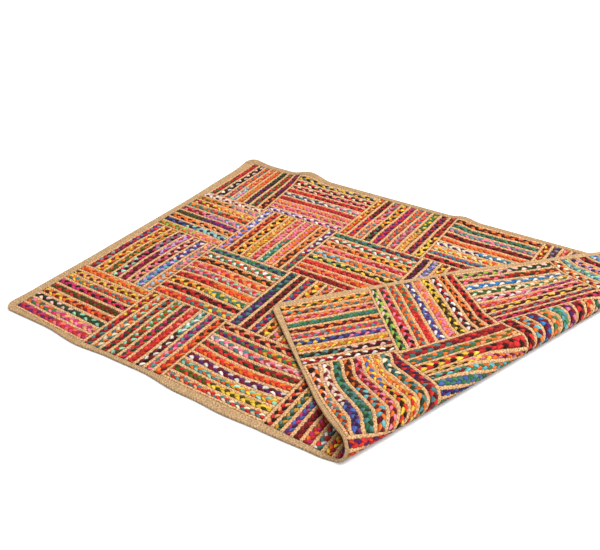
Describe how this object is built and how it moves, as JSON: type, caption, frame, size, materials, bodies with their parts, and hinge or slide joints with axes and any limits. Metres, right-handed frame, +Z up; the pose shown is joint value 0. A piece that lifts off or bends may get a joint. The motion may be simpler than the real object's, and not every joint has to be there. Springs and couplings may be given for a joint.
{
  "type": "rag rug",
  "caption": "Rectangular rug of rag and jute plaits sewn in a basket-weave of square panels, one end folded back diagonally.",
  "frame": {"origin": "bottom centre of the laid rug's bounding box, on the floor", "axes": "+X along the rug's long side from the flat left end to the folded right end, +Z up through its thickness"},
  "size_m": [1.576, 1.2948, 0.063],
  "materials": {
    "rag_plait": "matte plaited cotton rag",
    "jute_plait": "matte plaited jute fibre"
  },
  "bodies": {
    "root": {"panel_1_1": "rag_plait", "panel_1_2": "rag_plait", "panel_1_3": "rag_plait", "panel_1_4": "rag_plait", "panel_2_1": "rag_plait", "panel_2_2": "rag_plait", "panel_2_3": "rag_plait", "panel_2_4": "rag_plait", "panel_3_1": "rag_plait", "panel_3_2": "rag_plait", "panel_3_3": "rag_plait", "panel_3_4": "rag_plait", "panel_4_1": "rag_plait", "panel_4_2": "rag_plait", "panel_4_3": "rag_plait", "panel_4_4": "rag_plait", "panel_5_1": "rag_plait", "panel_5_2": "rag_plait", "panel_5_3": "rag_plait", "panel_5_4": "rag_plait", "panel_6_1": "rag_plait", "panel_6_2": "rag_plait", "panel_6_3": "rag_plait", "panel_6_4": "rag_plait", "border": "jute_plait"}
  },
  "joints": []
}
